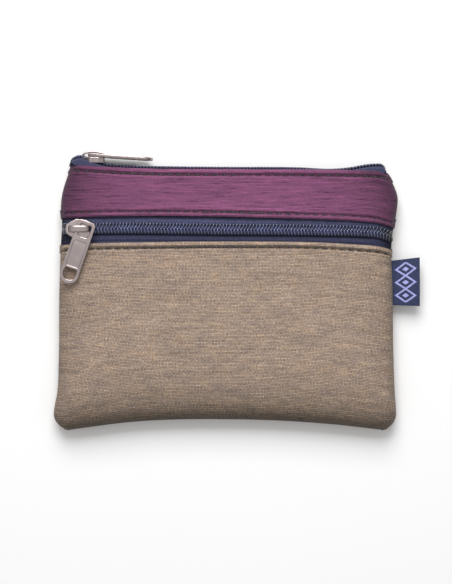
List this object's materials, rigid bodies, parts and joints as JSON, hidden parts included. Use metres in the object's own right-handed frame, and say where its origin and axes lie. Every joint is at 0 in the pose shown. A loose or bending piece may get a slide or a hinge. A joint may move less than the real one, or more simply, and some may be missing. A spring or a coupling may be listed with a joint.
{
  "type": "zippered pouch",
  "caption": "Flat lined cloth pouch with a front pocket zip, a top zip, metal sliders with swinging pulls and a folded side label.",
  "frame": {"origin": "middle of the flat face that the pouch rests on, its back", "axes": "+X across the pouch towards the label, +Y towards the top zip, +Z out of the front face"},
  "size_m": [0.1372, 0.1048, 0.0138],
  "materials": {
    "tan_linen": "melange plain weave, matt",
    "plum_rib": "fine horizontal rib, slight sheen",
    "lining": "thin plain weave lining",
    "zip_tape": "woven polyester tape",
    "nylon_coil": "glossy nylon monofilament",
    "coil_cord": "twisted filler cord",
    "thread": "polyester sewing thread",
    "woven_label": "damask woven label",
    "nickel": "satin nickel on zinc"
  },
  "bodies": {
    "pouch": {"front_panel": "tan_linen", "front_band": "plum_rib", "back_panel": "tan_linen", "front_panel_lining": "lining", "pocket_backing": "lining", "lining_front": "lining", "lining_back": "lining", "front_tape_upper": "zip_tape", "front_tape_lower": "zip_tape", "front_coil_upper": "nylon_coil", "front_coil_lower": "nylon_coil", "front_coil_cords": "coil_cord", "front_chain_thread": "thread", "top_tape_front": "zip_tape", "top_tape_back": "zip_tape", "top_coil_front": "nylon_coil", "top_coil_back": "nylon_coil", "top_coil_cords": "coil_cord", "top_chain_thread": "thread", "band_top_stitching": "thread", "band_bottom_stitching": "thread", "panel_stitching": "thread", "back_stitching": "thread", "seam_thread": "thread", "side_label": "woven_label"},
    "front_slider": {"front_slider": "nickel"},
    "front_pull": {"front_pull": "nickel"},
    "top_slider": {"top_slider": "nickel"},
    "top_pull": {"top_pull": "nickel"}
  },
  "joints": [
    {"name": "front_zip_slide", "type": "slide", "parent": "pouch", "child": "front_slider", "axis": [1, 0, 0], "range_m": [0, 0.107], "deforming": ["front_coil_upper", "front_coil_lower"]},
    {"name": "front_pull_swivel", "type": "hinge", "parent": "front_slider", "child": "front_pull", "pos_m": [-0.0518, 0.0236, 0.01205], "axis": [0, 0, 1], "range_deg": [-15, 235]},
    {"name": "top_zip_slide", "type": "slide", "parent": "pouch", "child": "top_slider", "axis": [0.9997, -0.0227, 0], "range_m": [0, 0.102], "deforming": ["top_coil_front", "top_coil_back"]},
    {"name": "top_pull_hinge", "type": "hinge", "parent": "top_slider", "child": "top_pull", "pos_m": [-0.05125, 0.05161, 0.0049], "axis": [0, 0, 1], "range_deg": [0, 165]}
  ]
}
